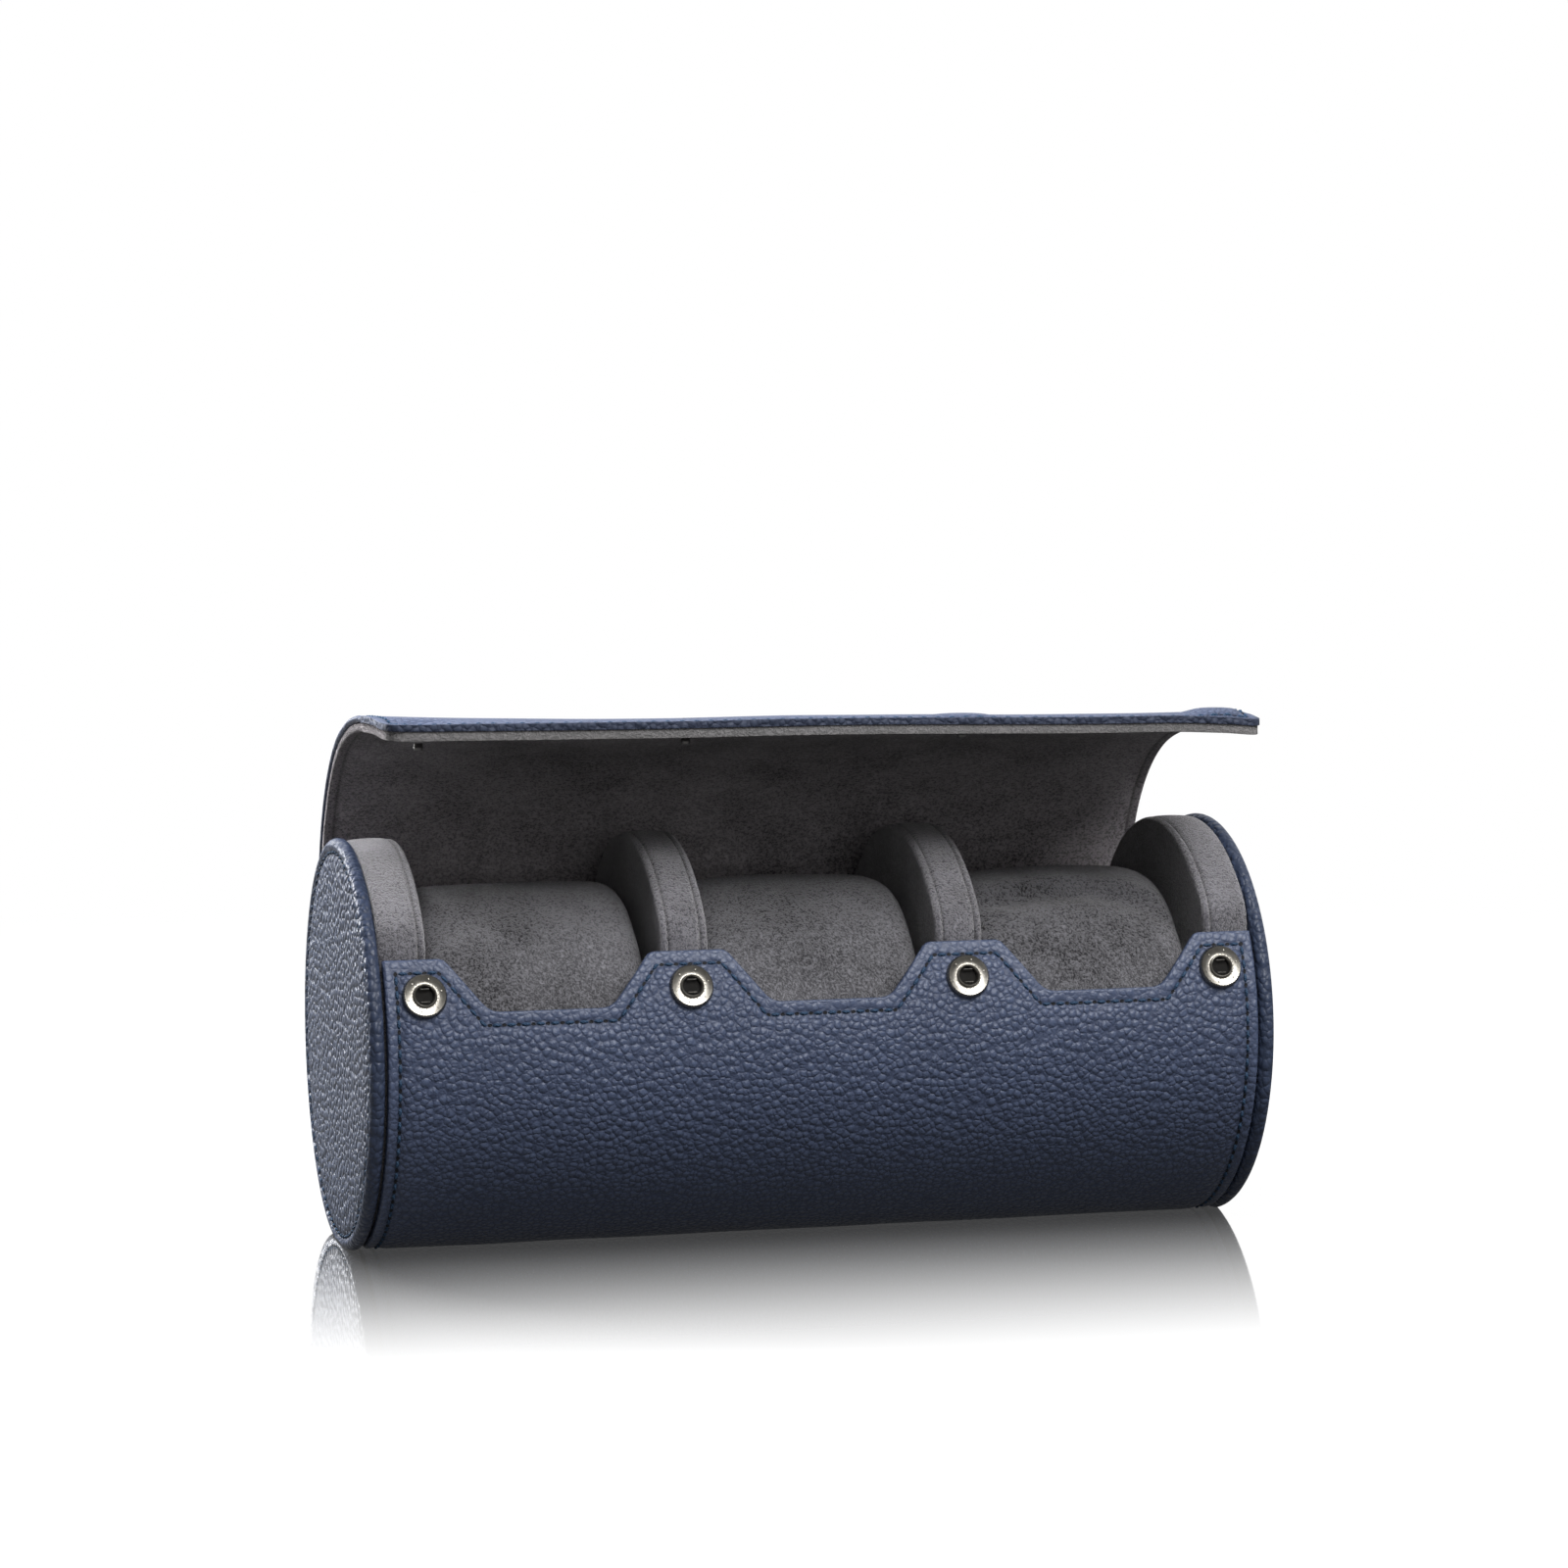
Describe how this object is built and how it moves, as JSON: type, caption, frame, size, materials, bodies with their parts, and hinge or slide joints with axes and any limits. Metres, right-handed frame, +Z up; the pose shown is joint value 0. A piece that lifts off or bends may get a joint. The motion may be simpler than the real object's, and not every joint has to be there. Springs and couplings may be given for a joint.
{
  "type": "watch roll",
  "caption": "Leather-covered cylindrical watch roll with suede cushions between dividers and a flexible snap lid that opens to the back.",
  "frame": {"origin": "centre of the flat on the underside of the roll", "axes": "+X along the roll, +Y towards the lid's hinge at the back, +Z up"},
  "size_m": [0.2144, 0.1002, 0.1245],
  "materials": {
    "navy_leather": "pebbled grain, satin",
    "stiff_board": "matt",
    "grey_lining": "brushed microsuede",
    "grey_suede": "brushed microsuede",
    "cushion_suede": "brushed microsuede",
    "foam": "matt foam",
    "nickel": "polished nickel",
    "dark_nickel": "gunmetal"
  },
  "bodies": {
    "roll_body": {"wrap_leather": "navy_leather", "wrap_board": "stiff_board", "wrap_lining": "grey_lining", "spine_leather": "navy_leather", "spine_lining": "grey_lining", "end_leather_left": "navy_leather", "end_leather_right": "navy_leather", "end_board_left": "stiff_board", "end_board_right": "stiff_board", "end_pad_left_cover": "grey_suede", "end_pad_left_core": "foam", "end_pad_right_cover": "grey_suede", "end_pad_right_core": "foam", "divider_left_cover": "grey_suede", "divider_left_core": "foam", "divider_right_cover": "grey_suede", "divider_right_core": "foam", "snap_sockets": "nickel", "socket_springs": "nickel", "socket_backs": "nickel"},
    "lid_back": {"lid_back_leather": "navy_leather", "lid_back_board": "stiff_board", "lid_back_lining": "grey_lining"},
    "lid_flap": {"lid_flap_leather": "navy_leather", "lid_flap_board": "stiff_board", "lid_flap_lining": "grey_lining"},
    "lid_edge": {"lid_edge_leather": "navy_leather", "lid_edge_board": "stiff_board", "lid_edge_lining": "grey_lining", "snap_studs": "dark_nickel", "stud_backs": "nickel"},
    "cushion_left": {"cushion_cover_left": "cushion_suede", "cushion_core_left": "foam"},
    "cushion_middle": {"cushion_cover_middle": "cushion_suede", "cushion_core_middle": "foam"},
    "cushion_right": {"cushion_cover_right": "cushion_suede", "cushion_core_right": "foam"}
  },
  "joints": [
    {"name": "lid_hinge", "type": "hinge", "parent": "roll_body", "child": "lid_back", "pos_m": [0, 0.04581, 0.0544], "axis": [-1, 0, 0], "range_deg": [-24, 88], "deforming": ["spine_leather", "spine_lining"]},
    {"name": "flap_fold", "type": "hinge", "parent": "lid_back", "child": "lid_flap", "pos_m": [0, -0.00393, 0.11671], "axis": [-1, 0, 0], "range_deg": [-24, 12]},
    {"name": "edge_fold", "type": "hinge", "parent": "lid_flap", "child": "lid_edge", "pos_m": [0, -0.02627, 0.11972], "axis": [-1, 0, 0], "range_deg": [-24, 12]},
    {"name": "cushion_lift_left", "type": "slide", "parent": "roll_body", "child": "cushion_left", "axis": [0, 0, 1], "range_m": [0, 0.009]},
    {"name": "cushion_lift_middle", "type": "slide", "parent": "roll_body", "child": "cushion_middle", "axis": [0, 0, 1], "range_m": [0, 0.009]},
    {"name": "cushion_lift_right", "type": "slide", "parent": "roll_body", "child": "cushion_right", "axis": [0, 0, 1], "range_m": [0, 0.009]}
  ],
  "couplings": [
    {"joint": "edge_fold", "follows": "flap_fold", "ratio": 1}
  ]
}
